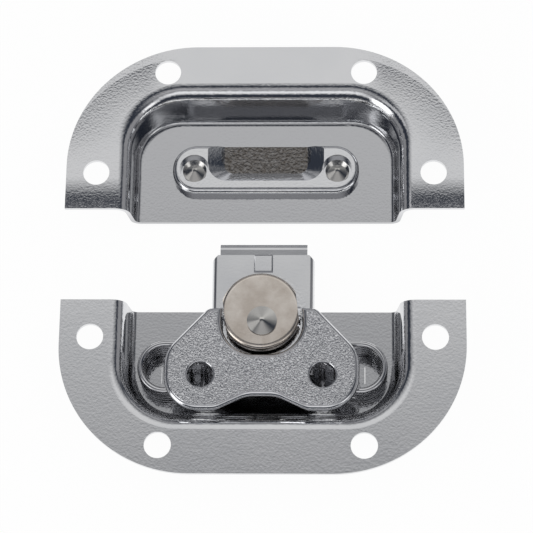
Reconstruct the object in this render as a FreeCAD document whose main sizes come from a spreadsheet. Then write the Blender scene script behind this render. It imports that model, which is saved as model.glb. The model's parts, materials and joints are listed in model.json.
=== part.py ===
import FreeCAD, Part
import math
import os
import re

import Sketcher
from FreeCAD import Placement, Rotation, Vector

# Recessed butterfly latch in two halves, in millimetres.
# X runs across the latch, Y from the latch half towards the keeper half, Z up out of the dishes.
# The dish floors rest on Z = 0 and the origin is the middle of the whole pair.

SIZES = {
    # The pair as it lies, and as it closes
    "open_gap": 27.0,
    "closed_gap": 2.0,
    # Flange, the same on both halves
    "plate_width": 112.0,
    "plate_length": 49.5,
    "plate_corner": 36.5,
    "sheet": 1.2,
    "dish_depth": 11.2,
    # Screw holes, measured from the middle and from the parting edge
    "screw_bore": 7.4,
    "hole_shift": 1.86,
    "near_hole_back": 10.8,
    "far_hole_back": 41.6,
    # Dish, where its flat floor ends and where its mouth bend begins
    "floor_share": 0.63,
    "floor_back": 29.5,
    "floor_corner": 10.7,
    "mouth_corner": 20.0,
    "side_lean": 8.0,
    "latch_lean": 14.0,
    "keeper_lean": 22.0,
    "mouth_bend": 4.4,
    "floor_bend": 1.8,
    "overrun": 6.0,
    # Strike plate
    "strike_end": 6.2,
    "strike_near": 7.9,
    "strike_far": 22.5,
    "strike_rise": 3.4,
    "strike_sheet": 1.0,
    "strike_rim": 1.5,
    "strike_corner": 7.0,
    "pocket_slope": 4.7,
    "catch_inset": 0.25,
    "pocket_rim": 11.4,
    "pocket_foot": 14.6,
    "pocket_tilt": 4.0,
    "pocket_low_corner": 2.5,
    "pocket_top_corner": 5.5,
    "dimple_inset": 3.8,
    "dimple_bore": 8.4,
    "dimple_wall": 0.95,
    "strike_shank": 3.5,
    "strike_head": 6.8,
    "strike_cone": 1.3,
    "strike_lip": 0.4,
    # Pivot, measured from the parting edge of the latch half
    "pivot_back": 7.2,
    "pivot_shank": 5.0,
    "pivot_head": 8.2,
    "pivot_lip": 0.5,
    "pivot_cone": 1.3,
    "running": 0.05,
    "washer_width": 16.0,
    "washer_sheet": 0.8,
    "rivet_sink": 0.6,
    "overcut": 1.0,
    # Cam
    "drum_width": 9.5,
    "collar_side": 2.0,
    "collar_height": 0.6,
    "collar_gap": 0.25,
    "cam_width": 14.0,
    "cam_throw": 2.5,
    "neck_width": 8.4,
    "cam_play": 0.7,
    "cam_side_play": 0.15,
    "window_round": 6.0,
    # Slide channel
    "channel_half": 14.2,
    "channel_front": 13.9,
    "channel_tail": 13.7,
    "channel_sheet": 1.2,
    "channel_drop": 4.85,
    "channel_notch": 1.5,
    "channel_bend": 1.6,
    "web_lift": 3.25,
    "rib_half": 2.65,
    "rib_rise": 0.5,
    "rib_run": 5.2,
    "rib_bevel": 0.4,
    "lobe_foot": 3.4,
    "lobe_half": 2.1,
    "lobe_round": 1.8,
    # Hook plate
    "hook_side": 0.85,
    "hook_sheet": 1.4,
    "hook_lip": 1.2,
    "lip_clear": 0.2,
    "hook_bend": 1.9,
    "hook_tail": 6.3,
    "hook_tilt": 4.5,
    "hook_clear": 0.3,
    "trunnion_back": 7.0,
    "trunnion_wide": 2.4,
    "trunnion_bore": 3.1,
    "trunnion_lobe": 2.6,
    "trunnion_root": 0.5,
    "trunnion_proud": 0.4,
    "drum_play": 0.45,
    "slot_play": 0.2,
    "slot_round": 4.25,
    "catch_play": 0.2,
    # Hinge yoke and cap disc
    "yoke_radius": 12.3,
    "disc_ahead": 3.2,
    "yoke_sheet": 0.8,
    "lug_inner": 9.5,
    "lug_sheet": 1.0,
    "lug_foot": 3.1,
    "lug_half": 1.7,
    "hinge_ahead": 2.9,
    "knuckle": 1.4,
    "knuckle_front": 1.25,
    "hinge_pin": 1.8,
    "hinge_head": 2.6,
    "hinge_clear": 0.2,
    "disc_radius": 11.05,
    "disc_flat": 10.1,
    "disc_skirt": 1.8,
    "disc_sheet": 0.9,
    "disc_round": 1.3,
    "disc_proud": 0.2,
    "disc_turn": 7.0,
    # Butterfly handle, measured from the pivot
    "handle_sheet": 1.2,
    "handle_hem": 2.2,
    "ear_inner": 10.8,
    "ear_outer": 14.8,
    "ear_ahead": 4.2,
    "wing_half": 26.7,
    "wing_round": 9.6,
    "wing_inner": 12.4,
    "wing_inner_round": 6.7,
    "shoulder_round": 10.0,
    "ear_round": 3.2,
    "waist_half": 4.0,
    "waist_round": 8.6,
    "wing_shoulder": 8.5,
    "wing_back": 25.0,
    "waist_back": 21.1,
    "crotch_back": 9.1,
    "crotch_half": 11.6,
    "crotch_round": 9.0,
    "finger_out": 16.7,
    "finger_back": 15.2,
    "finger_bore": 7.0,
    "border_round": 1.5,
    "finger_round": 0.6,
    # Coil springs
    "coil_edge": 1.73,
    "coil_back": 11.2,
    "coil_space": 7.98,
    "coil_wire": 1.8,
    "coil_pitch": 1.95,
    "coil_turns": 3.5,
    "coil_lift": 0.05,
    "leg_out": 16.4,
    "leg_ahead": 2.8,
    "leg_reach": 5.4,
    "leg_lift": 2.5,
    "leg_bend": 3.0,
    "leg_top": 9.0,
    "tab_height": 5.0,
    "tab_narrow": 1.55,
    "tab_round": 0.24,
    "tab_inset": 1.65,
}

# Sizes that follow others
TIED = {
    "floor_half": "plate_width / 2 * floor_share",
    "near_hole_out": "(floor_half + plate_width / 2) / 2 + hole_shift",
    "far_hole_out": "plate_width / 4",
    "hook_half": "channel_half - channel_sheet - hook_side",
    "collar_width": "2 * (channel_half - channel_sheet - collar_side)",
    "pocket_half": "hook_half - catch_inset",
    "pocket_rim_half": "pocket_half + pocket_slope",
    "dimple_out": "pocket_rim_half + dimple_inset",
    "strike_half": "dimple_out + strike_end",
    "coil_radius": "(floor_half - channel_half - coil_space) / 2",
    "coil_out": "floor_half - coil_radius - coil_edge",
    "tab_face": "coil_out - coil_radius + tab_inset",
    "tab_width": "coil_radius - tab_narrow",
}

# Heights that several pieces share, from the table up
WASHER_TOP = "(sheet + washer_sheet)"
FLANGE_TOP = "(sheet + dish_depth)"
PAD_TOP = "(sheet + strike_rise)"
HOOK_MID = f"({PAD_TOP} + hook_clear + hook_sheet / 2)"
WEB_BASE = f"({HOOK_MID} + web_lift)"
WEB_TOP = f"({WEB_BASE} + channel_sheet)"
COLLAR_TOP = f"({WEB_BASE} - collar_gap)"
CAM_TOP = f"({WEB_TOP} + running)"
YOKE_TOP = f"({CAM_TOP} + yoke_sheet)"
HINGE_HEIGHT = f"({YOKE_TOP} + hinge_clear + knuckle)"
HANDLE_BASE = f"({HINGE_HEIGHT} + knuckle)"
HANDLE_TOP = f"({HANDLE_BASE} + handle_sheet)"
HEM_BASE = f"({HANDLE_TOP} - handle_hem)"
DISC_TOP = f"({HANDLE_TOP} + disc_proud)"
NECK_TOP = f"({DISC_TOP} - disc_sheet)"
DISC_BASE = f"({NECK_TOP} - disc_skirt)"

# Places along Y that several pieces share, from the pivot
PIVOT_Y = "(-open_gap / 2 - pivot_back)"
CHANNEL_FRONT = "(pivot_back + channel_front)"
LIP_INNER = "(pivot_back + closed_gap + pocket_foot + catch_play)"

# Sizes that several pieces share
CAM_BORE = "(pivot_shank + 2 * running)"
STRIKE_SEAT = "(sheet + strike_sheet)"
STRIKE_MIDDLE = "(strike_near + strike_far) / 2"
PIN_LENGTH = "(ear_inner + handle_sheet + running - lug_inner + hinge_pin / 2)"
PIN_OUTER = "(ear_inner + handle_sheet + running)"
PIN_START = {1: "lug_inner - hinge_pin / 2", -1: f"-{PIN_OUTER}"}
HEAD_START = {1: PIN_OUTER, -1: f"-{PIN_OUTER} - hinge_pin / 2"}

CUTS = ("PartDesign::Pocket", "PartDesign::SubtractiveLoft")
FORMED = []

doc = FreeCAD.newDocument("ButterflyLatch")


def make_sheet():
    """Write the driving sizes into a spreadsheet, one named cell each."""
    sheet = doc.addObject("Spreadsheet::Sheet", "Sizes")
    for row, (alias, value) in enumerate(SIZES.items(), start=1):
        sheet.set(f"A{row}", alias)
        sheet.set(f"B{row}", str(value))
        sheet.setAlias(f"B{row}", alias)
    doc.recompute()
    return sheet


sheet = make_sheet()
gauge = doc.addObject("App::FeaturePython", "Gauge")
gauge.addProperty("App::PropertyFloat", "Reading")


def bound(text):
    """Turn a formula in plain names into one that reads the spreadsheet."""

    def cell(word):
        name = word[0]
        if name in TIED:
            return "(" + bound(TIED[name]) + ")"
        return "Sizes." + name if name in SIZES else name

    return re.sub(r"[a-z]\w*", cell, text)


def measure(text):
    """Return the number that a formula gives with the present sizes."""
    gauge.setExpression("Reading", bound(text))
    gauge.recompute()
    return gauge.Reading


def new_body(label, across="0", along="0", lift="0", turn="0", tilt=None):
    """Start a body at its own place, turned about the vertical or tilted about X by a formula."""
    body = doc.addObject("PartDesign::Body", label)
    body.Label = label
    axis, angle = (Vector(1, 0, 0), tilt) if tilt else (Vector(0, 0, 1), turn)
    body.Placement = Placement(Vector(0, 0, 0), Rotation(axis, measure(angle)))
    if measure(angle):
        body.setExpression("Placement.Rotation.Angle", bound(angle))
    body.setExpression("Placement.Base.x", bound(across))
    body.setExpression("Placement.Base.y", bound(along))
    body.setExpression("Placement.Base.z", bound(lift))
    return body


def new_sketch(body, plane="XY", height="0"):
    """Add a sketch on one of the body's own planes, moved along that plane's positive axis."""
    sketch = body.newObject("Sketcher::SketchObject", body.Label + "_sketch")
    for feature in body.Origin.OriginFeatures:
        if feature.Role == plane + "_Plane":
            sketch.AttachmentSupport = [(feature, "")]
    sketch.MapMode = "FlatFace"
    side = "-" if plane == "XZ" else ""
    sketch.setExpression("AttachmentOffset.Base.z", bound(f"{side}({height})"))
    return sketch


def pin_point(sketch, geometry, point, across, up):
    """Hold one point of a sketch at two formulas."""
    index = sketch.addConstraint(Sketcher.Constraint("DistanceX", -1, 1, geometry, point, measure(across)))
    sketch.setExpression(f"Constraints[{index}]", bound(across))
    index = sketch.addConstraint(Sketcher.Constraint("DistanceY", -1, 1, geometry, point, measure(up)))
    sketch.setExpression(f"Constraints[{index}]", bound(up))


def draw_outline(sketch, corners):
    """Draw a closed outline through corners, each a pair of formulas and a radius or None."""
    places = [Vector(measure(across), measure(up), 0) for across, up, _ in corners]
    radii = [measure(radius) if radius else 0.0 for _, _, radius in corners]
    count = len(corners)
    arrive, leave, arcs = [], [], []
    for i, place in enumerate(places):
        back = (places[i - 1] - place).normalize()
        ahead = (places[(i + 1) % count] - place).normalize()
        half = back.getAngle(ahead) / 2
        reach = radii[i] / math.tan(half)
        arrive.append(place + back * reach)
        leave.append(place + ahead * reach)
        if radii[i]:
            centre = place + (back + ahead).normalize() * (radii[i] / math.sin(half))
            left_turn = back.cross(ahead).z < 0
            first, last = (arrive[i], leave[i]) if left_turn else (leave[i], arrive[i])
            start = math.atan2(first.y - centre.y, first.x - centre.x)
            end = math.atan2(last.y - centre.y, last.x - centre.x)
            circle = Part.Circle(centre, Vector(0, 0, 1), radii[i])
            if end <= start:
                end += 2 * math.pi
            arcs.append((Part.ArcOfCircle(circle, start, end), left_turn))
        else:
            arcs.append(None)
    lines = []
    for i in range(count):
        lines.append(sketch.addGeometry(Part.LineSegment(leave[i], arrive[(i + 1) % count]), False))
    for i, (across, up, radius) in enumerate(corners):
        before, after = lines[i - 1], lines[i]
        if arcs[i] is None:
            sketch.addConstraint(Sketcher.Constraint("Coincident", before, 2, after, 1))
            pin_point(sketch, after, 1, across, up)
            continue
        arc = sketch.addGeometry(arcs[i][0], False)
        near, far = (1, 2) if arcs[i][1] else (2, 1)
        sketch.addConstraint(Sketcher.Constraint("Tangent", before, 2, arc, near))
        sketch.addConstraint(Sketcher.Constraint("Tangent", arc, far, after, 1))
        index = sketch.addConstraint(Sketcher.Constraint("Radius", arc, radii[i]))
        sketch.setExpression(f"Constraints[{index}]", bound(radius))
        corner = sketch.addGeometry(Part.Point(places[i]), True)
        sketch.addConstraint(Sketcher.Constraint("PointOnObject", corner, 1, before))
        sketch.addConstraint(Sketcher.Constraint("PointOnObject", corner, 1, after))
        pin_point(sketch, corner, 1, across, up)
    return sketch


def draw_circle(sketch, across, up, diameter):
    """Draw a circle about a pair of formulas."""
    place = Vector(measure(across), measure(up), 0)
    circle = sketch.addGeometry(Part.Circle(place, Vector(0, 0, 1), measure(diameter) / 2), False)
    pin_point(sketch, circle, 3, across, up)
    index = sketch.addConstraint(Sketcher.Constraint("Diameter", circle, measure(diameter)))
    sketch.setExpression(f"Constraints[{index}]", bound(diameter))
    return sketch


def extrude(body, kind, sketch, length, flip=False):
    """Pad or pocket a sketch by a formula."""
    feature = body.newObject("PartDesign::" + kind, body.Label + "_" + kind.lower())
    feature.Profile = (sketch, [""])
    feature.Reversed = flip
    feature.setExpression("Length", bound(length))
    doc.recompute()
    return feature


def loft(body, kind, first, last):
    """Join two outlines by straight walls, added or taken away."""
    feature = body.newObject("PartDesign::" + kind, body.Label + "_walls")
    feature.Profile = (first, [""])
    feature.Sections = [(last, [""])]
    feature.Ruled = True
    doc.recompute()
    return feature


def finish_edges(body, kind, chosen, size):
    """Fillet or chamfer the edges of the body's tip that a test picks."""
    base = body.Tip
    names = [f"Edge{i}" for i, edge in enumerate(base.Shape.Edges, start=1) if chosen(edge)]
    feature = body.newObject("PartDesign::" + kind, body.Label + "_" + kind.lower())
    feature.Base = (base, names)
    feature.setExpression("Radius" if kind == "Fillet" else "Size", bound(size))
    doc.recompute()
    return feature


def mirror(body, originals):
    """Mirror features across the body's YZ plane."""
    feature = body.newObject("PartDesign::Mirrored", body.Label + "_mirrored")
    feature.Originals = originals
    for plane in body.Origin.OriginFeatures:
        if plane.Role == "YZ_Plane":
            feature.MirrorPlane = (plane, [""])
    body.Tip = feature
    doc.recompute()
    return feature


def u_outline(half, back, corner, front="-overrun"):
    """Corners of a U shape that is open towards the parting edge."""
    return [
        (f"{half}", front, None),
        (f"{half}", back, corner),
        (f"-({half})", back, corner),
        (f"-({half})", front, None),
    ]


def flanged_dish(label, lean, along, turn="0"):
    """Stamp one dish: a flange plate and a pan with leaning walls and rounded bends."""
    body = new_body(label, along=along, turn=turn)
    # A bend takes up this share of its radius on each side of the walls' sharp corner
    side = "tan((90 - side_lean) / 2)"
    far = f"tan((90 - {lean}) / 2)"
    low_half = f"(floor_half + {side} * floor_bend)"
    low_back = f"(floor_back + {far} * floor_bend)"
    low_corner = f"(floor_corner + {side} * floor_bend)"
    top_half = f"({low_half} + dish_depth * tan(side_lean))"
    top_back = f"({low_back} + dish_depth * tan({lean}))"
    top_corner = f"(mouth_corner - {side} * mouth_bend)"

    plate = new_sketch(body, height="dish_depth")
    draw_outline(plate, u_outline("plate_width / 2", "plate_length", "plate_corner"))
    extrude(body, "Pad", plate, "sheet")

    def rounded(height, half, back, corner, skin):
        sketch = new_sketch(body, height=height)
        half, back = f"{half} + {side} * {skin}", f"{back} + {far} * {skin}"
        return draw_outline(sketch, u_outline(half, back, f"{corner} + {side} * {skin}"))

    low = rounded("0", low_half, low_back, low_corner, "sheet")
    top = rounded("dish_depth", top_half, top_back, top_corner, "sheet")
    loft(body, "AdditiveLoft", low, top)
    finish_edges(body, "Fillet", pan_edges("0"), "floor_bend + sheet")
    finish_edges(body, "Fillet", pan_edges("dish_depth"), "mouth_bend - sheet")
    low = rounded("sheet", low_half, low_back, low_corner, "0")
    top = rounded(FLANGE_TOP, top_half, top_back, top_corner, "0")
    loft(body, "SubtractiveLoft", low, top)
    finish_edges(body, "Fillet", pan_edges("sheet"), "floor_bend")
    finish_edges(body, "Fillet", pan_edges(FLANGE_TOP), "mouth_bend")

    # The pan was run past the parting edge, where it is now cut off square
    off_cut = new_sketch(body, height=f"{FLANGE_TOP} + overcut")
    corners = [("plate_width", "0"), ("plate_width", "-overrun - overcut")]
    corners += [("-plate_width", "-overrun - overcut"), ("-plate_width", "0")]
    draw_outline(off_cut, [(across, up, None) for across, up in corners])
    extrude(body, "Pocket", off_cut, f"{FLANGE_TOP} + 2 * overcut")

    screws = new_sketch(body, height=FLANGE_TOP)
    for sign in ("", "-"):
        draw_circle(screws, sign + "near_hole_out", "near_hole_back", "screw_bore")
        draw_circle(screws, sign + "far_hole_out", "far_hole_back", "screw_bore")
    extrude(body, "Pocket", screws, "2 * sheet")
    return body


def pan_edges(height):
    """Make a test for the edges round the pan at a height, but not along the parting edge."""
    place = measure(height)
    side = measure("plate_width / 2 - 2")
    back = measure("plate_length - 2")
    front = measure("-overrun + 0.01")

    def test(edge):
        box = edge.BoundBox
        flat = abs(box.ZMin - place) < 0.001 and abs(box.ZMax - place) < 0.001
        inside = box.XMin > -side and box.XMax < side and box.YMax < back
        return flat and inside and box.YMax > front

    return test


def rivet_hole(body, across, up, bore, sink):
    """Drill a hole through the dish floor with a sink below for the rivet's tail."""
    hole = new_sketch(body, height="sheet")
    draw_circle(hole, across, up, bore)
    extrude(body, "Pocket", hole, "sheet")
    x, y = measure(across), measure(up)

    def rim(edge):
        box = edge.BoundBox
        near = abs(box.Center.x - x) < 0.01 and abs(box.Center.y - y) < 0.01
        return near and box.ZMax < 0.001

    finish_edges(body, "Chamfer", rim, sink)


def keeper_dish():
    body = flanged_dish("keeper_dish", "keeper_lean", "open_gap / 2")
    for sign in ("", "-"):
        rivet_hole(body, sign + "dimple_out", STRIKE_MIDDLE, "strike_shank", "rivet_sink")
    return body


def strike_plate():
    """Press an oblong pad with two rivet dimples and the pocket that the hook drops into."""
    body = new_body("strike_plate", along="open_gap / 2")

    def oblong(height, inset):
        half, near, far = f"(strike_half - {inset})", f"strike_near + {inset}", f"strike_far - {inset}"
        places = [(half, near), (half, far), (f"-{half}", far), (f"-{half}", near)]
        corners = [(across, up, f"strike_corner - {inset}") for across, up in places]
        return draw_outline(new_sketch(body, height=height), corners)

    def pocket_outline(height, half, front, corner, tilt=None):
        sketch = new_sketch(body, height=height)
        if tilt:
            sketch.AttachmentOffset = Placement(Vector(0, 0, 0), Rotation(Vector(1, 0, 0), measure(tilt)))
            sketch.setExpression("AttachmentOffset.Rotation.Angle", bound(tilt))
            sketch.setExpression("AttachmentOffset.Base.z", bound(f"{height} - ({front}) * sin({tilt})"))
        back = "strike_far + strike_sheet"
        corners = [(half, back, None), (f"-({half})", back, None)]
        corners += [(f"-({half})", front, corner), (half, front, corner)]
        return draw_outline(sketch, corners)

    extrude(body, "Pad", oblong("sheet", "0"), "strike_rise")
    finish_edges(body, "Fillet", flat_edges(PAD_TOP), "strike_rim")
    extrude(body, "Pocket", oblong("sheet", "strike_sheet"), "strike_rise - strike_sheet", flip=True)
    bosses = new_sketch(body, height="sheet")
    for side in ("", "-"):
        draw_circle(bosses, side + "dimple_out", STRIKE_MIDDLE, "dimple_bore + 2 * dimple_wall")
    extrude(body, "Pad", bosses, "strike_rise - strike_sheet / 2")
    low = new_sketch(body, height="sheet")
    top = new_sketch(body, height=f"{PAD_TOP} - strike_sheet / 2")
    for sketch, half, front, corner in (
        (low, "pocket_half", "pocket_foot", "pocket_low_corner"),
        (top, "pocket_rim_half", "pocket_rim", "pocket_top_corner"),
    ):
        half, front = f"({half} + strike_sheet)", f"{front} - strike_sheet"
        back = "strike_far - strike_sheet"
        corners = [(half, back, None), (f"-{half}", back, None)]
        corners += [(f"-{half}", front, corner), (half, front, corner)]
        draw_outline(sketch, corners)
    loft(body, "AdditiveLoft", low, top)
    foot = ("pocket_half", "pocket_foot", "pocket_low_corner")
    low = pocket_outline(STRIKE_SEAT, *foot, tilt="pocket_tilt")
    top = pocket_outline(PAD_TOP, "pocket_rim_half", "pocket_rim", "pocket_top_corner")
    loft(body, "SubtractiveLoft", low, top)
    dimples = new_sketch(body, height=PAD_TOP)
    for side in ("", "-"):
        draw_circle(dimples, side + "dimple_out", STRIKE_MIDDLE, "dimple_bore")
    extrude(body, "Pocket", dimples, "strike_rise - strike_sheet")
    shanks = new_sketch(body, height=PAD_TOP)
    for side in ("", "-"):
        draw_circle(shanks, side + "dimple_out", STRIKE_MIDDLE, "strike_shank")
    extrude(body, "Pocket", shanks, "strike_rise")
    return body


def flat_edges(height):
    """Make a test for edges that lie flat at a height."""
    place = measure(height)

    def test(edge):
        return abs(edge.BoundBox.ZMin - place) < 0.001 and abs(edge.BoundBox.ZMax - place) < 0.001

    return test


def rivet(label, across, along, shank, tail, seat, head, lip, cone):
    """Turn a rivet with a sunk tail, a plain shank and a pointed conical head."""
    body = new_body(label, across=across, along=along)
    corners = [("0", "0"), (f"{shank} / 2 + {tail}", "0"), (f"{shank} / 2", tail), (f"{shank} / 2", seat)]
    rim = f"{seat} + {lip}"
    corners += [(f"{head} / 2", seat), (f"{head} / 2", rim), ("0", f"{rim} + {cone}")]
    revolve(body, corners)
    return body


def revolve(body, corners):
    """Turn a half outline about the body's vertical axis."""
    sketch = draw_outline(new_sketch(body, "XZ"), [(out, up, None) for out, up in corners])
    feature = body.newObject("PartDesign::Revolution", body.Label + "_turned")
    feature.Profile = (sketch, [""])
    feature.ReferenceAxis = (sketch, ["V_Axis"])
    feature.Angle = 360.0
    doc.recompute()
    return feature


def latch_dish():
    """Stamp the latch half's dish, with a lanced tab in the floor inside each coil spring."""
    body = flanged_dish("latch_dish", "latch_lean", "-open_gap / 2", turn="180")
    rivet_hole(body, "0", "pivot_back", "pivot_shank", "rivet_sink")
    tab = new_sketch(body, "YZ", "tab_face")
    top, foot = "sheet + tab_height", "sheet / 2"
    near, far = "pivot_back + coil_back - tab_width / 2", "pivot_back + coil_back + tab_width / 2"
    corners = [(near, foot, None), (far, foot, None)]
    corners += [(far, top, "tab_width * tab_round"), (near, top, "tab_width * tab_round")]
    standing = extrude(body, "Pad", draw_outline(tab, corners), "sheet")
    mirror(body, [standing])
    window = new_sketch(body, height="sheet")
    for side in ("", "-"):
        inner, outer = f"{side}(tab_face + sheet)", f"{side}(tab_face + sheet + tab_height)"
        corners = [(inner, near), (outer, near), (outer, far), (inner, far)]
        draw_outline(window, [(out, back, None) for out, back in corners])
    extrude(body, "Pocket", window, "sheet")
    return body


def base_washer():
    """Punch the washer that the cam turns on."""
    body = new_body("base_washer", along=PIVOT_Y)
    sketch = draw_circle(new_sketch(body, height="sheet"), "0", "0", "washer_width")
    draw_circle(sketch, "0", "0", CAM_BORE)
    extrude(body, "Pad", sketch, "washer_sheet")
    return body


def eccentric_cam():
    """Turn the cam: a drum, a collar under the slide, the off-centre cam and a neck for the disc."""
    body = new_body("eccentric_cam", along=PIVOT_Y)
    base, collar = f"{WASHER_TOP} + running", f"{COLLAR_TOP} - collar_height"
    corners = [(f"{CAM_BORE} / 2", base), ("drum_width / 2", base), ("drum_width / 2", collar)]
    corners += [("collar_width / 2", collar), ("collar_width / 2", COLLAR_TOP)]
    corners += [("neck_width / 2", COLLAR_TOP), ("neck_width / 2", NECK_TOP), (f"{CAM_BORE} / 2", NECK_TOP)]
    revolve(body, corners)
    cam = draw_circle(new_sketch(body, height=COLLAR_TOP), "0", "-cam_throw", "cam_width")
    draw_circle(cam, "0", "0", CAM_BORE)
    extrude(body, "Pad", cam, f"{CAM_TOP} - {COLLAR_TOP}")
    return body


def hinge_yoke():
    """Stamp the round yoke with two lugs bent up for the hinge pins."""
    body = new_body("hinge_yoke", along=PIVOT_Y)
    plate = draw_circle(new_sketch(body, height=CAM_TOP), "0", "disc_ahead", "2 * yoke_radius")
    draw_circle(plate, "0", "0", "neck_width")
    extrude(body, "Pad", plate, "yoke_sheet")
    lug = new_sketch(body, "YZ", "lug_inner")
    foot, top = f"{CAM_TOP} + yoke_sheet / 2", f"{HINGE_HEIGHT} + knuckle + running"
    corners = [("hinge_ahead - lug_foot", foot, None), ("hinge_ahead + lug_foot", foot, None)]
    corners += [("hinge_ahead + lug_half", top, "knuckle"), ("hinge_ahead - lug_half", top, "knuckle")]
    standing = extrude(body, "Pad", draw_outline(lug, corners), "lug_sheet")
    mirror(body, [standing])
    bore = draw_circle(new_sketch(body, "YZ", "yoke_radius"), "hinge_ahead", HINGE_HEIGHT, "hinge_pin")
    extrude(body, "Pocket", bore, "2 * yoke_radius")
    return body


def cap_disc():
    """Press the disc with two flats; its skirt stays only along the two arcs."""
    body = new_body("cap_disc", along=PIVOT_Y, turn="disc_turn")
    round_plate = draw_circle(new_sketch(body, height=DISC_BASE), "0", "disc_ahead", "2 * disc_radius")
    extrude(body, "Pad", round_plate, f"{DISC_TOP} - {DISC_BASE}")
    finish_edges(body, "Fillet", flat_edges(DISC_TOP), "disc_round")
    hollow = new_sketch(body, height=NECK_TOP)
    draw_circle(hollow, "0", "disc_ahead", "2 * (disc_radius - disc_sheet)")
    extrude(body, "Pocket", hollow, "disc_skirt")
    sides = new_sketch(body, height=NECK_TOP)
    reach = "(disc_radius + overcut)"
    open_half = "(disc_radius / 2)"
    corners = [(reach, f"disc_ahead - {open_half}"), (reach, f"disc_ahead + {open_half}")]
    corners += [(f"-{reach}", f"disc_ahead + {open_half}"), (f"-{reach}", f"disc_ahead - {open_half}")]
    draw_outline(sides, [(out, ahead, None) for out, ahead in corners])
    extrude(body, "Pocket", sides, "disc_skirt + overcut")
    flats = new_sketch(body, height=f"{DISC_TOP} + overcut")
    for side in ("", "-"):
        corners = [("disc_flat", "-disc_radius"), (reach, "-disc_radius")]
        corners += [(reach, "2 * disc_radius"), ("disc_flat", "2 * disc_radius")]
        draw_outline(flats, [(side + out, ahead, None) for out, ahead in corners])
    extrude(body, "Pocket", flats, f"{DISC_TOP} - {DISC_BASE} + 2 * overcut")
    bore = draw_circle(new_sketch(body, height=DISC_TOP), "0", "0", CAM_BORE)
    extrude(body, "Pocket", bore, "disc_sheet")
    return body


def hinge_pin(side, sign):
    """Turn one hinge pin, with its head outside the handle's knuckle."""
    body = new_body(f"hinge_pin_{side}", along=f"{PIVOT_Y} + hinge_ahead", lift=HINGE_HEIGHT)
    shank = draw_circle(new_sketch(body, "YZ", PIN_START[sign]), "0", "0", "hinge_pin")
    extrude(body, "Pad", shank, PIN_LENGTH)
    head = draw_circle(new_sketch(body, "YZ", HEAD_START[sign]), "0", "0", "hinge_head")
    extrude(body, "Pad", head, "hinge_pin / 2")
    return body


def butterfly_handle():
    """Press the two-winged handle: a plate with a turned-down hem, finger holes and two knuckles."""
    body = new_body("butterfly_handle", along=PIVOT_Y)

    def outline(height, inset):
        half = [
            (f"ear_inner + {inset}", f"ear_ahead - {inset}", None),
            (f"ear_outer - {inset} / 2", f"ear_ahead - {inset}", f"ear_round - {inset} / 2"),
            (f"wing_half - {inset}", f"-wing_shoulder - {inset} / 2", f"shoulder_round - {inset} / 2"),
            (f"wing_half - {inset}", f"-wing_back + {inset}", f"wing_round - {inset}"),
            ("wing_inner", f"-wing_back + {inset}", f"wing_inner_round - {inset}"),
            ("waist_half", f"-waist_back + {inset}", f"waist_round + {inset}"),
        ]
        crotch = (f"crotch_half + {inset}", f"-crotch_back - {inset}", f"crotch_round + {inset}")
        left = [(f"-({across})", up, radius) for across, up, radius in reversed(half)]
        corners = [crotch] + half + left + [(f"-({crotch[0]})", crotch[1], crotch[2])]
        return draw_outline(new_sketch(body, height=height), corners)

    extrude(body, "Pad", outline(HEM_BASE, "0"), "handle_hem")
    finish_edges(body, "Fillet", flat_edges(HANDLE_TOP), "border_round")
    extrude(body, "Pocket", outline(HEM_BASE, "handle_sheet"), "handle_hem - handle_sheet", flip=True)
    # The rims of the finger holes are turned down too
    collars = new_sketch(body, height=HEM_BASE)
    for side in ("", "-"):
        draw_circle(collars, side + "finger_out", "-finger_back", "finger_bore + 2 * handle_sheet")
    extrude(body, "Pad", collars, "handle_hem - handle_sheet / 2")
    fingers = new_sketch(body, height=HANDLE_TOP)
    for side in ("", "-"):
        draw_circle(fingers, side + "finger_out", "-finger_back", "finger_bore")
    extrude(body, "Pocket", fingers, "handle_hem")
    finish_edges(body, "Fillet", finger_rims(), "finger_round")
    knuckle = new_sketch(body, "YZ", "ear_inner")
    low, high = f"{HINGE_HEIGHT} - knuckle", f"{HANDLE_BASE} + handle_sheet / 4"
    corners = [("hinge_ahead - knuckle", high, None), ("hinge_ahead - knuckle", low, "knuckle_front")]
    front = "hinge_ahead + knuckle_front"
    corners += [(front, low, "knuckle_front"), (front, high, None)]
    standing = extrude(body, "Pad", draw_outline(knuckle, corners), "handle_sheet")
    mirror(body, [standing])
    # A bore for each pin, and room for its head
    for sign, flip in (("", False), ("-", True)):
        bore = new_sketch(body, "YZ", sign + "ear_outer")
        draw_circle(bore, "hinge_ahead", HINGE_HEIGHT, "hinge_pin + 2 * running")
        extrude(body, "Pocket", bore, "ear_outer - ear_inner + overcut", flip=flip)
        room = new_sketch(body, "YZ", f"{sign}(ear_inner + handle_sheet + hinge_pin)")
        draw_circle(room, "hinge_ahead", HINGE_HEIGHT, "hinge_head + 4 * running")
        extrude(body, "Pocket", room, "hinge_pin", flip=flip)
    return body


def finger_rims():
    """Make a test for the upper edges of the two finger holes."""
    top = measure(HANDLE_TOP)
    out = measure("finger_out")
    reach = measure("finger_bore")

    def test(edge):
        box = edge.BoundBox
        beside = abs(abs(box.Center.x) - out) < 0.01
        return beside and abs(box.ZMin - top) < 0.001 and abs(box.XLength - reach) < 0.01

    return test


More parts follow.
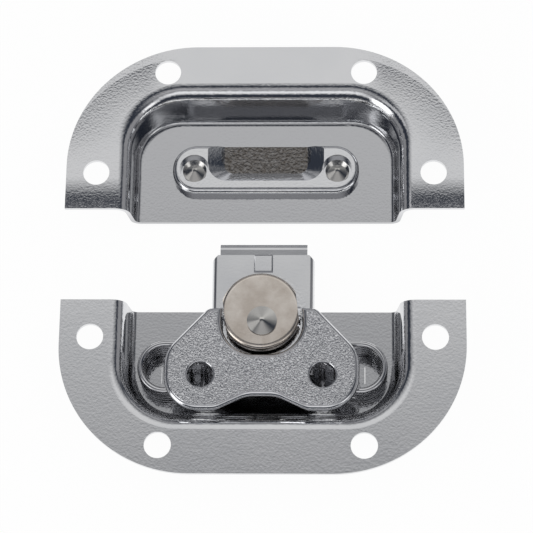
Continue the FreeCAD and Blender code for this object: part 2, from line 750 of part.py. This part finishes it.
def slide_channel():
    """Fold the wide claw plate, with its window for the cam and lobes for the hook's trunnions."""
    body = new_body("slide_channel", along=PIVOT_Y)
    section = new_sketch(body, "XZ", CHANNEL_FRONT)
    low, inner = f"{WEB_TOP} - channel_drop", "channel_half - channel_sheet"
    half = [(inner, WEB_BASE, "channel_bend - channel_sheet"), (inner, low, None)]
    half += [("channel_half", low, None), ("channel_half", WEB_TOP, "channel_bend")]
    left = [(f"-({across})", up, radius) for across, up, radius in reversed(half)]
    extrude(body, "Pad", draw_outline(section, half + left), f"{CHANNEL_FRONT} + channel_tail")
    lobe = new_sketch(body, "YZ", inner)
    base = f"{HOOK_MID} - trunnion_lobe"
    corners = [("-trunnion_back - lobe_foot", WEB_BASE, None)]
    corners += [("-trunnion_back - lobe_half", base, "lobe_round")]
    corners += [("-trunnion_back + lobe_half", base, "lobe_round")]
    corners += [("-trunnion_back + lobe_foot", WEB_BASE, None)]
    hanging = extrude(body, "Pad", draw_outline(lobe, corners), "channel_sheet")
    mirror(body, [hanging])
    bore = new_sketch(body, "YZ", "channel_half + overcut")
    draw_circle(bore, "-trunnion_back", HOOK_MID, "trunnion_bore")
    extrude(body, "Pocket", bore, "2 * (channel_half + overcut)")
    window = new_sketch(body, height=WEB_TOP)
    out = "(cam_width / 2 + cam_throw + cam_side_play)"
    front, back = "cam_width / 2 + cam_play - cam_throw", "-cam_width / 2 - cam_play - cam_throw"
    corners = [(out, front), (f"-{out}", front), (f"-{out}", back), (out, back)]
    draw_outline(window, [(across, up, "window_round") for across, up in corners])
    extrude(body, "Pocket", window, "channel_sheet + rib_rise")
    notches = new_sketch(body, height=f"{WEB_TOP} + overcut")
    for side in ("", "-"):
        corners = [("channel_half - channel_notch - overcut", f"{CHANNEL_FRONT} + overcut")]
        corners += [("channel_half + overcut", f"{CHANNEL_FRONT} + overcut")]
        corners += [("channel_half + overcut", f"{CHANNEL_FRONT} - channel_notch - overcut")]
        draw_outline(notches, [(f"{side}({across})", up, None) for across, up in corners])
    extrude(body, "Pocket", notches, "channel_drop + 2 * overcut")
    rib = new_sketch(body, height=f"{WEB_TOP} - channel_sheet / 2")
    corners = [("rib_half", CHANNEL_FRONT), ("-rib_half", CHANNEL_FRONT)]
    corners += [("-rib_half", f"{CHANNEL_FRONT} - rib_run"), ("rib_half", f"{CHANNEL_FRONT} - rib_run")]
    draw_outline(rib, [(across, up, None) for across, up in corners])
    extrude(body, "Pad", rib, "channel_sheet / 2 + rib_rise")
    finish_edges(body, "Chamfer", flat_edges(f"{WEB_TOP} + rib_rise"), "rib_bevel")
    return body


def hook_plate():
    """Fold the hook about its trunnion axis: a slotted plate with a lip turned down at the front."""
    body = new_body("hook_plate", along=f"{PIVOT_Y} - trunnion_back", lift=HOOK_MID, tilt="hook_tilt")
    section = new_sketch(body, "YZ", "-hook_half")
    inner = f"({LIP_INNER} + trunnion_back)"
    outer = f"({inner} + hook_lip)"
    floor = "(sheet + strike_sheet + (strike_far - pocket_foot) * tan(pocket_tilt) + lip_clear)"
    corners = [("-hook_tail", "hook_sheet / 2", None), ("-hook_tail", "-hook_sheet / 2", None)]
    corners += [(inner, "-hook_sheet / 2", "hook_bend - hook_lip"), (inner, f"{floor} - {HOOK_MID}", None)]
    corners += [(outer, f"{floor} - {HOOK_MID}", None), (outer, "hook_sheet / 2", "hook_bend")]
    extrude(body, "Pad", draw_outline(section, corners), "2 * hook_half")
    slot = new_sketch(body, height="hook_sheet")
    half = "(drum_width / 2 + drum_play)"
    front = f"trunnion_back + {half} + slot_play"
    back = f"trunnion_back - {half} - 2 * cam_throw - slot_play"
    corners = [(half, front), (f"-{half}", front), (f"-{half}", back), (half, back)]
    draw_outline(slot, [(across, up, "slot_round") for across, up in corners])
    extrude(body, "Pocket", slot, "2 * hook_sheet")
    trunnion = new_sketch(body, "YZ", "hook_half - trunnion_root")
    corners = [("trunnion_wide / 2", "hook_sheet / 2"), ("-trunnion_wide / 2", "hook_sheet / 2")]
    corners += [("-trunnion_wide / 2", "-hook_sheet / 2"), ("trunnion_wide / 2", "-hook_sheet / 2")]
    draw_outline(trunnion, [(across, up, None) for across, up in corners])
    standing = extrude(body, "Pad", trunnion, "channel_half + trunnion_proud + trunnion_root - hook_half")
    mirror(body, [standing])
    return body


def rounded_path(places, radii):
    """Join places by straight runs and tangent arcs, one radius for each place between the ends."""
    edges = []
    start = places[0]
    for before, corner, after, radius in zip(places, places[1:], places[2:], radii):
        back = (before - corner).normalize()
        ahead = (after - corner).normalize()
        half = back.getAngle(ahead) / 2
        enter = corner + back * (radius / math.tan(half))
        leave = corner + ahead * (radius / math.tan(half))
        middle = corner + (back + ahead).normalize() * (radius / math.sin(half) - radius)
        edges.append(Part.LineSegment(start, enter).toShape())
        edges.append(Part.Arc(enter, middle, leave).toShape())
        start = leave
    edges.append(Part.LineSegment(start, places[-1]).toShape())
    return edges


def round_bar(edge, radius):
    """Make a round bar along one straight edge or one arc."""
    start, end = edge.valueAt(edge.FirstParameter), edge.valueAt(edge.LastParameter)
    ring = Part.Circle(start, edge.tangentAt(edge.FirstParameter), radius)
    disc = Part.Face(Part.Wire(ring.toShape()))
    if edge.Curve.TypeId == "Part::GeomLine":
        return disc.extrude(end - start)
    turn = math.degrees(edge.LastParameter - edge.FirstParameter)
    return disc.revolve(edge.Curve.Center, edge.Curve.Axis, turn)


def coil_spring(side, sign):
    """Wind the left coil spring, its lower leg led forward under the hook, or the mirrored one."""
    radius = measure("coil_radius")
    low = measure("sheet + coil_wire / 2 + coil_lift")
    foot = Vector(0, -radius, low)
    inward = measure("coil_out - leg_out")
    front, lift = measure("coil_back + leg_ahead"), measure("sheet + leg_lift")
    places = [foot, Vector(inward, -radius, low), Vector(inward, front, lift)]
    places.append(Vector(inward + measure("leg_reach"), front, lift))
    bend = measure("leg_bend")
    edges = rounded_path(places, [bend, bend / 2])
    # Each half turn is an arc tilted about X, so that it meets the next one in line
    climb = measure("coil_pitch") / 2
    reach = math.hypot(radius, climb / 2)
    start, across = foot, -1
    for _ in range(round(2 * measure("coil_turns"))):
        end = Vector(0, -start.y, start.z + climb)
        edges.append(Part.Arc(start, Vector(across * reach, 0, start.z + climb / 2), end).toShape())
        start, across = end, -across
    edges.append(Part.LineSegment(start, start + Vector(across * measure("leg_top"), 0, 0)).toShape())
    bars = [round_bar(edge, measure("coil_wire") / 2) for edge in edges]
    shape = bars[0].fuse(bars[1:]).Solids[0]
    if sign > 0:
        shape = shape.mirror(Vector(0, 0, 0), Vector(1, 0, 0))
    feature = doc.addObject("Part::Feature", f"coil_spring_{side}")
    feature.Label = f"coil_spring_{side}"
    feature.Shape = shape
    place = Vector(sign * measure("coil_out"), measure(f"{PIVOT_Y} - coil_back"), 0)
    feature.Placement = Placement(place, Rotation())
    FORMED.append(feature.Label)
    return feature


def check_and_write():
    """Stop on any failed object, then write each piece to its own file."""
    doc.recompute()
    for item in doc.Objects:
        if any(word in item.State for word in ("Invalid", "Error")):
            raise RuntimeError(f"{item.Label} failed")
        base = getattr(item, "BaseFeature", None)
        if base and item.TypeId in CUTS and item.Shape.Volume > base.Shape.Volume - 0.01:
            raise RuntimeError(f"{item.Label} takes nothing away")
    os.makedirs("parts", exist_ok=True)
    for item in doc.Objects:
        if item.TypeId == "PartDesign::Body" or item.Label in FORMED:
            shape = item.Shape
            if shape.isNull() or not shape.isValid():
                raise RuntimeError(f"{item.Label} has no sound shape")
            shape.exportStep(f"parts/{item.Label}.step")
            box = shape.BoundBox
            print(item.Label, len(shape.Solids), round(shape.Volume, 2),
                  [round(v, 2) for v in (box.XMin, box.YMin, box.ZMin, box.XMax, box.YMax, box.ZMax)])


keeper_dish()
strike_plate()
for side, sign in (("left", "-"), ("right", "")):
    rivet(
        f"strike_rivet_{side}", sign + "dimple_out", f"open_gap / 2 + {STRIKE_MIDDLE}",
        "strike_shank", "rivet_sink", STRIKE_SEAT, "strike_head", "strike_lip", "strike_cone",
    )
latch_dish()
base_washer()
rivet(
    "pivot_rivet", "0", PIVOT_Y,
    "pivot_shank", "rivet_sink", f"{DISC_TOP} + running", "pivot_head", "pivot_lip", "pivot_cone",
)
eccentric_cam()
hinge_yoke()
cap_disc()
for side, sign in (("left", -1), ("right", 1)):
    hinge_pin(side, sign)
    coil_spring(side, sign)
butterfly_handle()
slide_channel()
hook_plate()
check_and_write()
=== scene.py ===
import json
import math

import bmesh
import bpy
from mathutils import Matrix, Vector


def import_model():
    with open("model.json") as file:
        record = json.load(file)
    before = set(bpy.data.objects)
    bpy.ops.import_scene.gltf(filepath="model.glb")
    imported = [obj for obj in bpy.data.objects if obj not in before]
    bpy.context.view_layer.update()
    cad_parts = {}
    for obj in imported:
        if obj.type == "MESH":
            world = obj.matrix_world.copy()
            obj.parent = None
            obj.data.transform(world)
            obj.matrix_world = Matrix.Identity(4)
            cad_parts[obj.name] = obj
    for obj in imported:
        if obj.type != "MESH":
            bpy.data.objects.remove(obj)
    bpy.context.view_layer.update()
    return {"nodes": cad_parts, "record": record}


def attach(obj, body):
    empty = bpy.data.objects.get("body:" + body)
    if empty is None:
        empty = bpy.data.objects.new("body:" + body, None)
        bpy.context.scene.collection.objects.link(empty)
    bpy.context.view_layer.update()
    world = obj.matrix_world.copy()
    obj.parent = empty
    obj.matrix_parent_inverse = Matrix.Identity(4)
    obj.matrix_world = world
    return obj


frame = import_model()

MM = 0.001

# The photograph's view, found by setting the part's screw holes against those in the picture
TARGET = Vector((0.43 * MM, 0.6 * MM, 0.0))
AZIMUTH = math.radians(-6.4)
ELEVATION = math.radians(70.2)
ROLL = math.radians(-6.0)
DISTANCE = 0.674
LENS = 160.9
SENSOR = 36.0
CLIP_START = 0.01

# Plated metals: darker and lighter colour, smoothest and roughest, height of the peel in metres
SHEET = ((0.70, 0.71, 0.73), (0.80, 0.80, 0.81), (0.05, 0.09), 0.00003)
CLAW = ((0.60, 0.61, 0.64), (0.86, 0.86, 0.86), (0.08, 0.13), 0.000008)
SPRING = ((0.66, 0.66, 0.68), (0.76, 0.76, 0.77), (0.06, 0.10), 0.000004)
RIVET = ((0.68, 0.66, 0.63), (0.77, 0.76, 0.73), (0.09, 0.14), 0.000004)
HANDLE_COLOURS = ((0.68, 0.69, 0.71), (0.80, 0.80, 0.82))
HANDLE_ROUGH = (0.09, 0.15)
NICKEL_COLOURS = ((0.68, 0.61, 0.54), (0.83, 0.77, 0.71))
NICKEL_ROUGH = (0.26, 0.15)
# Painted shade: the darker colour the sheet takes down in the dishes
DISH_PAINTED_SHADE = (0.54, 0.545, 0.56)
# Painted shade and a painted warm reflection on the floor of the strike plate's pocket
POCKET_PAINTED_SHADE = (0.13, 0.115, 0.10)

# How fine the noises are, per metre: the peel, its broad swell and the cloudy marks
PEEL_SCALE = 1500.0
SWELL_SCALE = 260.0
CLOUD_SCALE = 60.0
GLOSS_SCALE = 220.0
MIDDLE = (0.3, 0.7)  # the part of a noise's range that is used

# The keeper's flange: height of its top face, middle of its rounded corners, reach of the droop
FLANGE_TOP = (11.8 * MM, 12.3 * MM)
CORNER_X, CORNER_Y = 20 * MM, 22 * MM
CORNER_FADE = (4 * MM, 14 * MM)
RIM_FADE = (23 * MM, 38 * MM)
EDGE_FADE = (23 * MM, 13 * MM)
RIM_DROOP, EDGE_DROOP = 1.05 * MM, 1.35 * MM
WORN_SCALE, WORN_HEIGHT = 1700.0, 0.00011

# The floor of the strike plate's pocket, told by how its normal leans in Y and by its height
POCKET_LEAN_LOW, POCKET_LEAN_HIGH = (-0.10, -0.08), (-0.05, -0.06)
POCKET_TOP = (4.2 * MM, 4.0 * MM)
POCKET_HEIGHT = 0.00009
# Speckle of the pocket's painted shade and reflection
SPECKLE_SCALE, SPECKLE = 1400.0, (0.72, 1.0)
# Heights over which the painted shade in the dishes fades in
DISH_SHADE_FADE = (11 * MM, 2 * MM)

# The handle's pebbled plateau, where the face lies level
PEBBLE_SCALE, PEBBLE_SPAN, PEBBLE_HEIGHT = 2500.0, (0.1, 0.6), 0.00012
LEVEL = (0.97, 0.995)

# The covers of the slots in the latch dish: middle and half size
COVER_MIDDLE = Vector((25.8, -31.9, 0.65)) * MM
COVER_HALF = Vector((2.35, 2.4, 0.5)) * MM
COVER_BEVEL = 0.05 * MM

TABLE_HALF = 3.0
TABLE_DROP = 0.02 * MM
TABLE_COLOUR, TABLE_ROUGH = 0.95, 0.9
TABLE_WHITE = 0.95  # share of plain white that the camera and the metal see in the table
TENT_RADIUS, TENT_COLOUR = 2.6, (0.034, 0.040, 0.054)
CARD_DISTANCE = 1.6

# Azimuth and elevation, width and height (all in degrees), colour, softness of the edges.
# Azimuth 0 is behind the keeper half, 90 to the right, 180 towards the camera.
CARDS = {
    "card_key": (0, 57, 84, 62, (0.74, 0.74, 0.74), 0.7),
    "card_back": (0, 18, 90, 26, (0.35, 0.35, 0.36), 0.5),
    "card_right": (90, 21, 84, 42, (0.30, 0.30, 0.31), 0.5),
    "card_left": (-95, 58, 40, 16, (0.55, 0.55, 0.56), 0.4),
    "card_low_left": (-90, 16, 84, 30, (0.27, 0.27, 0.28), 0.5),
    "card_front": (180, 45, 84, 38, (0.95, 0.95, 0.96), 0.8),
    "card_front_high": (180, 70, 84, 34, (0.42, 0.42, 0.43), 0.8),
    "card_front_right": (130, 27, 34, 30, (1.2, 1.2, 1.2), 0.7),
    "card_spark": (-125, 21, 40, 44, (2.1, 2.1, 2.1), 0.5),
}

# Sockets of the colour mix, which share their names with those of the other data types
MIX_A, MIX_B, MIX_RESULT = 6, 7, 2


def add(name, data):
    """Put a new object with this data in the scene."""
    made = bpy.data.objects.new(name, data)
    bpy.context.scene.collection.objects.link(made)
    return made


def flat_sheet(name, half_w, half_h):
    """Add a level rectangle round the origin."""
    mesh = bpy.data.meshes.new(name)
    corners = [(x * half_w, y * half_h, 0) for x, y in ((-1, -1), (1, -1), (1, 1), (-1, 1))]
    mesh.from_pydata(corners, [], [(0, 1, 2, 3)])
    return add(name, mesh)


def camera():
    """Look at the pair from the photograph's direction, rolled a little as it is there."""
    flat = math.cos(ELEVATION)
    out = Vector((-math.sin(AZIMUTH) * flat, -math.cos(AZIMUTH) * flat, math.sin(ELEVATION)))
    right = Vector((math.cos(AZIMUTH), -math.sin(AZIMUTH), 0.0))
    up = right.cross(-out)
    across = right * math.cos(ROLL) + up * math.sin(ROLL)
    upward = up * math.cos(ROLL) - right * math.sin(ROLL)
    turn = Matrix((across, upward, out)).transposed().to_4x4()
    data = bpy.data.cameras.new("camera")
    data.lens = LENS
    data.sensor_width = SENSOR
    data.clip_start = CLIP_START
    seen = add("camera", data)
    seen.matrix_world = Matrix.Translation(TARGET + out * DISTANCE) @ turn
    bpy.context.scene.camera = seen


class Maker:
    """Builds one node material with a Principled surface."""

    def __init__(self, name, metallic=0.0):
        self.material = bpy.data.materials.new(name)
        self.material.use_nodes = True
        self.tree = self.material.node_tree
        self.shader = self.tree.nodes["Principled BSDF"]
        self.shader.inputs["Metallic"].default_value = metallic
        self.place = self.tree.nodes.new("ShaderNodeTexCoord")

    def node(self, kind, **values):
        """Add a node, with values for its sockets or its settings."""
        made = self.tree.nodes.new(kind)
        for key, value in values.items():
            if key in made.inputs:
                made.inputs[key].default_value = value
            else:
                setattr(made, key, value)
        return made

    def link(self, output, target):
        self.tree.links.new(output, target)

    def noise(self, scale, detail=2.0, roughness=0.5):
        made = self.node("ShaderNodeTexNoise", Scale=scale, Detail=detail, Roughness=roughness)
        self.link(self.place.outputs["Object"], made.inputs["Vector"])
        return made.outputs["Fac"]

    def span(self, value, start, end=(0.0, 1.0)):
        """Map one range of a value onto another, held at both ends."""
        made = self.node("ShaderNodeMapRange")
        for name, limit in zip(("From Min", "From Max", "To Min", "To Max"), (*start, *end)):
            made.inputs[name].default_value = limit
        self.link(value, made.inputs["Value"])
        return made.outputs["Result"]

    def maths(self, operation, one, two):
        made = self.node("ShaderNodeMath", operation=operation)
        for socket, value in zip(made.inputs, (one, two)):
            if isinstance(value, (int, float)):
                socket.default_value = value
            else:
                self.link(value, socket)
        return made.outputs[0]

    def times(self, one, two):
        return self.maths("MULTIPLY", one, two)

    def axes(self, output):
        """Split a coordinate output into its X, Y and Z."""
        parts = self.node("ShaderNodeSeparateXYZ")
        self.link(self.place.outputs[output], parts.inputs[0])
        return [parts.outputs[axis] for axis in "XYZ"]

    def bumps(self, *layers):
        """Stack layers into the normal: a value, its height in metres and perhaps a mask."""
        normal = None
        for value, height, *mask in layers:
            made = self.node("ShaderNodeBump", Distance=height, Strength=1.0)
            self.link(value, made.inputs["Height"])
            if mask:
                self.link(mask[0], made.inputs["Strength"])
            if normal is not None:
                self.link(normal, made.inputs["Normal"])
            normal = made.outputs["Normal"]
        self.link(normal, self.shader.inputs["Normal"])

    def gloss(self, value, start, rough):
        self.link(self.span(value, start, rough), self.shader.inputs["Roughness"])

    def tint(self, low, high, value, painted_shade=None):
        """Mix two colours by a value, then towards a darker painted-shade colour by a mask."""
        made = self.node("ShaderNodeMix", data_type="RGBA")
        made.inputs[MIX_A].default_value = (*low, 1.0)
        made.inputs[MIX_B].default_value = (*high, 1.0)
        self.link(value, made.inputs[0])
        if painted_shade:
            unshaded, (colour, mask) = made, painted_shade
            made = self.node("ShaderNodeMix", data_type="RGBA")
            self.link(unshaded.outputs[MIX_RESULT], made.inputs[MIX_A])
            made.inputs[MIX_B].default_value = (*colour, 1.0)
            self.link(mask, made.inputs[0])
        self.link(made.outputs[MIX_RESULT], self.shader.inputs["Base Color"])

    def blend(self, share, under, over):
        """Mix two shaders by a share of the one on top."""
        made = self.node("ShaderNodeMixShader")
        for socket, output in zip(made.inputs, (share, under, over)):
            self.link(output, socket)
        return made.outputs[0]

    def surface(self, output, target):
        """Give the material this surface and put it on an object."""
        self.link(output, self.tree.nodes["Material Output"].inputs["Surface"])
        target.data.materials.append(self.material)


def plated(name, metal, more=None, painted_shade=None):
    """Bright plated metal with a fine orange peel and faint cloudy marks, and painted shade
    where a mask for it is given.
    """
    low, high, rough, peel = metal
    make = Maker(name, metallic=1.0)
    make.tint(low, high, make.noise(CLOUD_SCALE, 4.0), painted_shade(make) if painted_shade else None)
    make.gloss(make.noise(GLOSS_SCALE, 3.0), MIDDLE, rough)
    layers = [(make.noise(PEEL_SCALE), peel), (make.noise(SWELL_SCALE, 1.0), peel / 3)]
    make.bumps(*(more(make) if more else []), *layers)
    return make.material


def flange_warp(make):
    """The slight droop that stamping leaves at the corners and the open edge of the flange."""
    x, y, z = make.axes("Object")
    top = make.span(z, FLANGE_TOP)
    side = make.maths("SUBTRACT", make.maths("ABSOLUTE", x, 0.0), CORNER_X)
    back = make.maths("SUBTRACT", y, CORNER_Y)
    square = make.maths("ADD", make.times(side, side), make.times(back, back))
    reach = make.maths("POWER", square, 0.5)
    rim = make.span(reach, RIM_FADE)
    corner = make.times(make.span(side, CORNER_FADE), make.span(back, CORNER_FADE))
    edge = make.span(y, EDGE_FADE)
    worn = make.maths("MAXIMUM", edge, make.times(corner, rim))
    return [
        (make.times(rim, rim), RIM_DROOP, make.times(corner, top)),
        (make.times(make.times(edge, edge), -1.0), EDGE_DROOP, top),
        (make.noise(WORN_SCALE), WORN_HEIGHT, make.times(top, worn)),
    ]


def in_pocket(make):
    """1 on the floor of the hook's pocket, 0 on the rest of the strike plate."""
    height = make.axes("Object")[2]
    lean = make.axes("Normal")[1]
    floor = make.times(make.span(lean, POCKET_LEAN_HIGH), make.span(lean, POCKET_LEAN_LOW))
    return make.times(floor, make.span(height, POCKET_TOP))


def pocket_grain(make):
    return [(make.noise(PEEL_SCALE, 3.0), POCKET_HEIGHT, in_pocket(make))]


def pocket_painted_shade(make):
    """Painted shade and a painted warm reflection, speckled, on the pocket's floor."""
    speckle = make.span(make.noise(SPECKLE_SCALE, 3.0), MIDDLE, SPECKLE)
    return POCKET_PAINTED_SHADE, make.times(in_pocket(make), speckle)


def dish_painted_shade(make):
    """Painted shade: the sheet's colour darkens down in the dish, where the walls shade the
    floor and less of the room shows in it.
    """
    return DISH_PAINTED_SHADE, make.span(make.axes("Object")[2], DISH_SHADE_FADE)


def handle_chrome():
    """Grainy plateau inside a smooth sloping border."""
    make = Maker("handle_chrome", metallic=1.0)
    make.tint(*HANDLE_COLOURS, make.noise(80.0, 4.0))
    make.gloss(make.noise(300.0), MIDDLE, HANDLE_ROUGH)
    level = make.span(make.axes("Normal")[2], LEVEL)
    grain = make.node("ShaderNodeTexVoronoi", Scale=PEBBLE_SCALE, feature="SMOOTH_F1")
    make.link(make.place.outputs["Object"], grain.inputs["Vector"])
    pebbles = make.times(make.span(grain.outputs["Distance"], PEBBLE_SPAN), level)
    make.bumps((pebbles, PEBBLE_HEIGHT), (make.noise(PEEL_SCALE), 0.000012))
    return make.material


def nickel_disc():
    """Warm nickel with cloudy stains."""
    make = Maker("nickel_disc", metallic=1.0)
    clouds = make.span(make.noise(150.0, 4.0, 0.6), (0.35, 0.68))
    make.tint(*NICKEL_COLOURS, clouds)
    make.gloss(clouds, (0.0, 1.0), NICKEL_ROUGH)
    make.bumps((make.noise(PEEL_SCALE), 0.000004), (make.noise(SWELL_SCALE, 1.0), 0.000008))
    return make.material


def dress():
    """Give each CAD piece its own material or that of its slot; return the latch dish's."""
    by_slot = {
        "chromed_sheet": plated("chromed_sheet", SHEET),
        "handle_chrome": handle_chrome(),
        "nickel_disc": nickel_disc(),
        "spring_wire": plated("spring_wire", SPRING),
        "rivet_steel": plated("rivet_steel", RIVET),
    }
    claw = plated("claw_sheet", CLAW)
    by_node = {
        # The two dish sheets and the strike sheet carry painted shade in their hollows
        "keeper_dish": plated("keeper_sheet", SHEET, flange_warp, dish_painted_shade),
        "latch_dish": plated("latch_sheet", SHEET, painted_shade=dish_painted_shade),
        "strike_plate": plated("strike_sheet", SHEET, pocket_grain, pocket_painted_shade),
        "slide_channel": claw,
        "hook_plate": claw,
    }
    for row in frame["record"]["subparts"]:
        node, slot = row["node"], row["material_slot"]
        piece = frame["nodes"][node]
        piece.data.materials.clear()
        piece.data.materials.append(by_node.get(node, by_slot[slot]))
    return by_node["latch_dish"]


def window_cover(name, side, finish):
    """Close the slot beside a spring's tab, which the photograph doesn't show."""
    shape = bmesh.new()
    bmesh.ops.create_cube(shape, size=2.0)
    for point in shape.verts:
        point.co = COVER_MIDDLE + point.co * COVER_HALF
        point.co.x *= side
    bmesh.ops.bevel(shape, geom=shape.edges[:], offset=COVER_BEVEL, segments=2, affect="EDGES")
    bmesh.ops.recalc_face_normals(shape, faces=shape.faces[:])
    mesh = bpy.data.meshes.new(name)
    shape.to_mesh(mesh)
    shape.free()
    mesh.materials.append(finish)
    piece = add(name, mesh)
    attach(piece, "base")


def floor():
    """A white table that keeps a faint shadow of the part."""
    table = flat_sheet("floor", TABLE_HALF, TABLE_HALF)
    table.location.z = -TABLE_DROP
    make = Maker("floor")
    make.shader.inputs["Base Color"].default_value = (*[TABLE_COLOUR] * 3, 1.0)
    make.shader.inputs["Roughness"].default_value = TABLE_ROUGH
    make.shader.inputs["Specular IOR Level"].default_value = 0.0
    white = make.node("ShaderNodeEmission", Color=(1.0, 1.0, 1.0, 1.0))
    path = make.node("ShaderNodeLightPath")
    seen = make.maths("MAXIMUM", path.outputs["Is Camera Ray"], path.outputs["Is Glossy Ray"])
    seen = make.maths("MAXIMUM", seen, path.outputs["Is Transmission Ray"])
    share = make.times(seen, TABLE_WHITE)
    make.surface(make.blend(share, make.shader.outputs[0], white.outputs[0]), table)


def world():
    """A plain white surround."""
    made = bpy.data.worlds.new("studio")
    made.use_nodes = True
    back = made.node_tree.nodes["Background"]
    back.inputs["Color"].default_value = (1.0, 1.0, 1.0, 1.0)
    back.inputs["Strength"].default_value = 1.0
    bpy.context.scene.world = made


def card(name, azimuth, elevation, wide, tall, colour, soft):
    """Hang a lit card in a direction seen from the part, with soft edges."""
    turn, rise = math.radians(azimuth), math.radians(elevation)
    flat = math.cos(rise)
    out = Vector((math.sin(turn) * flat, math.cos(turn) * flat, math.sin(rise)))
    half_w, half_h = (math.tan(math.radians(size / 2)) * CARD_DISTANCE for size in (wide, tall))
    made = flat_sheet(name, half_w, half_h)
    made.rotation_euler = (-out).to_track_quat("-Z", "Y").to_euler()
    made.location = out * CARD_DISTANCE
    made.visible_camera = False
    made.visible_shadow = False
    make = Maker(name)
    fades = []
    for axis, half in zip(make.axes("Object"), (half_w, half_h)):
        away = make.maths("ABSOLUTE", axis, 0.0)
        fades.append(make.span(away, (half, half * (1.0 - soft))))
    light = make.node("ShaderNodeEmission", Color=(*colour, 1.0))
    clear = make.node("ShaderNodeBsdfTransparent")
    make.surface(make.blend(make.times(*fades), clear.outputs[0], light.outputs[0]), made)


def tent():
    """A dark room round the table, which only the metal sees."""
    mesh = bpy.data.meshes.new("tent")
    shape = bmesh.new()
    bmesh.ops.create_uvsphere(shape, u_segments=48, v_segments=24, radius=TENT_RADIUS)
    shape.to_mesh(mesh)
    shape.free()
    made = add("tent", mesh)
    made.visible_camera = False
    made.visible_diffuse = False
    made.visible_shadow = False
    make = Maker("tent")
    make.surface(make.node("ShaderNodeEmission", Color=(*TENT_COLOUR, 1.0)).outputs[0], made)


camera()
latch_metal = dress()
window_cover("window_cover_left", -1, latch_metal)
window_cover("window_cover_right", 1, latch_metal)
floor()
world()
# Soft cards overhead and at the sides of a dark room, as bright metal is shot
tent()
for name, values in CARDS.items():
    card(name, *values)
bpy.context.scene.view_settings.view_transform = "Standard"
